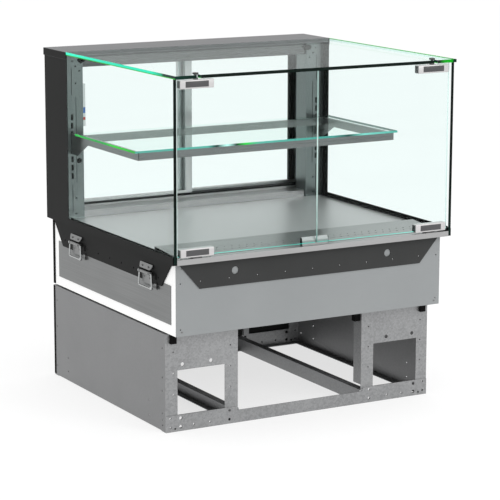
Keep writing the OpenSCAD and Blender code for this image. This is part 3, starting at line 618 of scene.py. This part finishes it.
def handlePlates(mesh, screws, s, midY, pinX, pinZ):
    face = s * handle["face"]
    part = pressedPlate(handle["plateWide"], handle["plateFoot"], handle["plateHigh"])
    merged(mesh, part, Matrix.Translation((face + s * handle["sheet"], midY, pinZ - handle["plateDrop"]))
           @ tilted(s, 90))
    part = pressedPlate(handle["flapWide"], handle["flapFoot"], handle["flapHigh"])
    merged(mesh, part, Matrix.Translation((face + s * handle["flapOut"], midY, pinZ + handle["flapRise"]))
           @ tilted(s, handle["flapLean"]))
    for t in (-1, 1):
        screw(screws, (face + s * 0.0017, midY + t * 0.016, pinZ - 0.016), (s, 0, 0), 0.0026, 0.0012)
        screw(screws, (face + s * 0.0078, midY + t * 0.019, pinZ + 0.0172), (s, 0, 0.4), 0.0028, 0.0012)
    # the rolled lip that holds the pin, and the ears beside it
    lip, inner, outer = handle["lipHalf"], handle["lipInner"], handle["lipOuter"]
    lathe(mesh, (pinX, midY - lip, pinZ), (0, 1, 0), [
        (inner, 0), (outer, 0), (outer, 2 * lip), (inner, 2 * lip)], 20)
    block(mesh, (face, midY - lip, pinZ + 0.002), (pinX, midY + lip, pinZ + 0.0046), 0.0008, 2)
    for t in (-1, 1):
        earY, earHalf = midY + t * handle["earOut"], handle["earHalf"]
        block(mesh, (face, earY - 0.002, pinZ - earHalf), (pinX + s * 0.005, earY + 0.002, pinZ + earHalf),
              0.0018, 2)


def bailLoop(low, high, midY, pinX, pinZ):
    # the wire bail with its end lugs
    half = (high.y - low.y) / 2 - handle["wire"]
    footZ = low.z + handle["wire"]
    loop = wireLoop([(pinX, midY - half + 0.003, pinZ), (pinX, midY + half - 0.006, pinZ),
                     (pinX, midY + half, footZ), (pinX, midY - half, footZ)],
                    handle["wire"], handle["bend"])
    lathe(loop, (pinX, midY - half + 0.002, low.z + 0.0026), (0, -0.5, -0.86), [
        (0, -0.006), (0.0040, -0.005), (0.0048, 0.0), (0.0040, 0.0026), (0, 0.0030)], 16)
    lathe(loop, (pinX, midY + half - 0.006, pinZ), (0, 1, 0), [
        (0, -0.003), (0.0046, -0.003), (0.0054, 0.001), (0.0034, 0.0056), (0, 0.006)], 16)
    return loop


for side, s in (("Left", -1), ("Right", 1)):
    plates = bmesh.new()
    materialSlotsAndShadowBlocks = bmesh.new()
    screws = bmesh.new()
    face = s * handle["face"]
    for place in ("front", "rear"):
        bail = "bail_" + place + "_" + side.lower()
        low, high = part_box(bail)
        midY = (low.y + high.y) / 2
        pinX = (low.x + high.x) / 2
        pinZ = high.z - handle["wire"]
        handlePlates(plates, screws, s, midY, pinX, pinZ)
        # thin black blocks on the skirt beside each handle, painted as its shadow
        for frontY, lowZ, backY, highZ in shadowsBeside:
            block(materialSlotsAndShadowBlocks, (face, midY + frontY, pinZ + lowZ), (face + s * 0.0004, midY + backY, pinZ + highZ),
                  0.0002, 1)
        made = piece("bail" + place.capitalize() + side, bailLoop(low, high, midY, pinX, pinZ), "wire",
                     "handle_" + place + "_" + side.lower())
        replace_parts(made, bail)
    made = piece("handlePlates" + side, plates, "handle", "case")
    if side == "Left":
        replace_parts(made, "handle_plates")
    piece("handleScrews" + side, screws, "screw", "case")
    piece("skirtSlots" + side, materialSlotsAndShadowBlocks, "rubber", "case")
print("handles made")


# black folded edges of the rear panel and of the rear cover: the node and how far they stand out
folds = {"rearPanelFolds": ("body_rear_panel", 0.0027), "rearCoverFolds": ("base_rear_cover", 0.0007)}
fold = {"deep": 0.010, "gap": 0.0002, "end": 0.001}
for name, (node, proud) in folds.items():
    low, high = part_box(node)
    mesh = bmesh.new()
    for s in (-1, 1):
        block(mesh, (s * (high.x + proud), low.y - fold["deep"], low.z + fold["end"]),
              (s * (high.x + fold["gap"]), high.y, high.z - fold["end"]), 0.0003, 1)
    piece(name, mesh, "rubber", "case")

# the thermometer card hung on the inside of the left rear door, with its two bands:
# finish, foot, top and how far each part stands out
thermometer = {"x": (-0.356, -0.347), "thick": 0.002, "parts": {
    "Card": ("paper", 0.778, 0.908, 0.0), "Blue": ("blue", 0.818, 0.836, 0.0004),
    "Red": ("red", 0.797, 0.806, 0.0004)}}
low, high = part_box("rear_door_frame_left")
leftX, rightX = thermometer["x"]
for part, (finish, bottom, top, proud) in thermometer["parts"].items():
    mesh = bmesh.new()
    block(mesh, (leftX + proud, low.y - thermometer["thick"] - proud, bottom),
          (rightX - proud, low.y + 0.001, top), 0.0003, 1)
    piece("thermometer" + part, mesh, finish, "slider_left")

# screws in the front panel's corners and in the uprights
smallScrews = {"panelIn": 0.018, "panelFoot": 0.012, "panelTop": 0.016, "radius": 0.0028,
               "uprightX": 0.449, "uprightZ": (0.56, 0.80, 0.955)}
panelLow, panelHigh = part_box("body_front_panel")
uprightLow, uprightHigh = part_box("upright_left")
mesh = bmesh.new()
for s in (-1, 1):
    for z in (panelLow.z + smallScrews["panelFoot"], panelHigh.z - smallScrews["panelTop"]):
        screw(mesh, (s * (panelHigh.x - smallScrews["panelIn"]), panelLow.y, z), (0, -1, 0),
              smallScrews["radius"], 0.0009)
    for z in smallScrews["uprightZ"]:
        screw(mesh, (s * smallScrews["uprightX"], uprightLow.y, z), (0, -1, 0),
              smallScrews["radius"], 0.0010)
piece("smallScrews", mesh, "screw", "case")

# raised seams pressed along the uprights, near black as painted shade in their creases: place across, foot
# and top
seams = {"wide": 0.0016, "proud": 0.0008, "lines": [
    (0.4275, 0.885, 0.965), (0.4135, 0.620, 0.880), (0.4275, 0.530, 0.615), (0.4440, 0.525, 1.0)]}
mesh = bmesh.new()
for s in (-1, 1):
    for x, bottom, top in seams["lines"]:
        block(mesh, (s * x - seams["wide"] / 2, uprightLow.y - seams["proud"], bottom),
              (s * x + seams["wide"] / 2, uprightLow.y + 0.0004, top), 0.0003, 1)
piece("uprightSeamShades", mesh, "seam", "case")

# black grommets in the uprights: place across, height, half width and half height
grommets = {"oval": (0.3945, 0.9895, 0.0125, 0.0085), "lower": (0.4050, 0.6865, 0.0085, 0.0078)}
mesh = bmesh.new()
for s in (-1, 1):
    for x, z, wide, high in grommets.values():
        part = bmesh.new()
        lathe(part, (0, 0, 0), (0, -1, 0), [(0, 0), (1, 0), (1, 0.0010), (0.8, 0.0016), (0, 0.0016)], 28)
        bmesh.ops.scale(part, vec=(wide, 1, high), verts=part.verts)
        merged(mesh, part, Matrix.Translation((s * x, uprightLow.y, z)))
piece("uprightGrommets", mesh, "rubber", "case")

# small bright fixings in the front skirt's row of holes
fixings = {"eachSide": 4, "pitch": 0.0905, "height": 0.4415}
mesh = bmesh.new()
for i in range(-fixings["eachSide"], fixings["eachSide"] + 1):
    lathe(mesh, (i * fixings["pitch"], panelLow.y, fixings["height"]), (0, -1, 0), [
        (0, 0), (0.0022, 0), (0.0022, 0.0012), (0.0014, 0.0020), (0, 0.0020)], 12)
piece("skirtFixings", mesh, "wire", "case")

# black gaskets where the side panes stand in their channels
gaskets = {"inner": 0.4468, "outer": 0.448, "foot": 0.5120, "left": 0.5145, "right": 0.5265}
mesh = bmesh.new()
for side, s in (("left", -1), ("right", 1)):
    paneLow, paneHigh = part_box("side_pane_" + side)
    block(mesh, (s * gaskets["outer"], paneLow.y + 0.001, gaskets["foot"]),
          (s * gaskets["inner"], paneHigh.y - 0.002, gaskets[side]), 0.0004, 1)
piece("paneGaskets", mesh, "rubber", "case")

# a bright lip along the foot of the lower door track
lip = {"half": 0.406, "high": 0.0065, "thick": 0.0010}
trackLow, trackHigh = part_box("door_tracks")
mesh = bmesh.new()
block(mesh, (-lip["half"], trackLow.y - lip["thick"], trackLow.z + 0.0002),
      (lip["half"], trackLow.y - 0.0001, trackLow.z + lip["high"]), 0.0003, 1)
piece("trackLip", mesh, "sill", "case")

# black plates over the ends of the cap
capEnd = {"thick": 0.0007, "front": 0.018, "foot": 0.0004, "top": 0.0008}
capLow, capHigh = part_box("top_cap")
mesh = bmesh.new()
for s in (-1, 1):
    block(mesh, (s * capHigh.x, capLow.y + capEnd["front"], capLow.z + capEnd["foot"]),
          (s * (capHigh.x + capEnd["thick"]), capHigh.y, capHigh.z - capEnd["top"]), 0.0002, 1)
piece("capEnds", mesh, "blackCoat", "case")
print("small parts made")

shot = {"from": (-3.0639, -5.4495, 1.6772), "at": (-0.0843, -0.1810, 0.4648), "roll": 0.14, "lens": 152.66}
cameraData = bpy.data.cameras.new("camera")
cameraData.lens = shot["lens"]
cameraData.sensor_width = 36.0
cameraData.clip_end = 200.0
camera = bpy.data.objects.new("camera", cameraData)
look = (Vector(shot["at"]) - Vector(shot["from"])).to_track_quat("-Z", "Y")
camera.location = shot["from"]
camera.rotation_mode = "QUATERNION"
camera.rotation_quaternion = look @ Quaternion((0, 0, 1), radians(shot["roll"]))
bpy.context.scene.collection.objects.link(camera)
bpy.context.scene.camera = camera

world = bpy.data.worlds.new("studio")
world.use_nodes = True
world.node_tree.nodes["Background"].inputs["Color"].default_value = (1.0, 1.0, 1.0, 1.0)
world.node_tree.nodes["Background"].inputs["Strength"].default_value = 1.0
bpy.context.scene.world = world
bpy.context.scene.view_settings.view_transform = "Standard"
bpy.context.scene.cycles.transparent_max_bounces = 40

# soft area lamps, all turned to the middle of the case
lamps = {
    "key": {"from": (2.2, -4.6, 2.6), "power": 60.0, "size": 2.0},
    "fill": {"from": (-4.2, -1.6, 1.8), "power": 14.0, "size": 2.6},
    "top": {"from": (0.3, 0.2, 4.2), "power": 22.0, "size": 2.6},
}
caseMiddle = Vector((0, 0, 0.5))
for name, lamp in lamps.items():
    data = bpy.data.lights.new(name, "AREA")
    data.energy = lamp["power"]
    data.size = lamp["size"]
    light = bpy.data.objects.new(name, data)
    light.location = lamp["from"]
    light.rotation_mode = "QUATERNION"
    light.rotation_quaternion = (caseMiddle - Vector(lamp["from"])).to_track_quat("-Z", "Y")
    bpy.context.scene.collection.objects.link(light)

# a plain pale floor with a faint glow, so that it stays even
floorSet = {"half": 40.0, "grain": 30.0, "glow": 0.71,
            "dark": (0.29, 0.29, 0.29), "light": (0.31, 0.31, 0.31)}
mesh = bmesh.new()
bmesh.ops.create_grid(mesh, x_segments=8, y_segments=8, size=floorSet["half"])
floorData = bpy.data.meshes.new("floor")
mesh.to_mesh(floorData)
mesh.free()
floor = bpy.data.objects.new("floor", floorData)
bpy.context.scene.collection.objects.link(floor)
paleFloor = Finish("paleFloor")
grain = paleFloor.noise(floorSet["grain"], 2.0)
floorData.materials.append(paleFloor.close(paleFloor.shader({
    "Base Color": paleFloor.blend(grain, floorSet["dark"], floorSet["light"]), "Roughness": 0.8,
    "Specular IOR Level": 0.0, "Emission Color": (1.0, 1.0, 1.0),
    "Emission Strength": floorSet["glow"]})))
print("stage set")
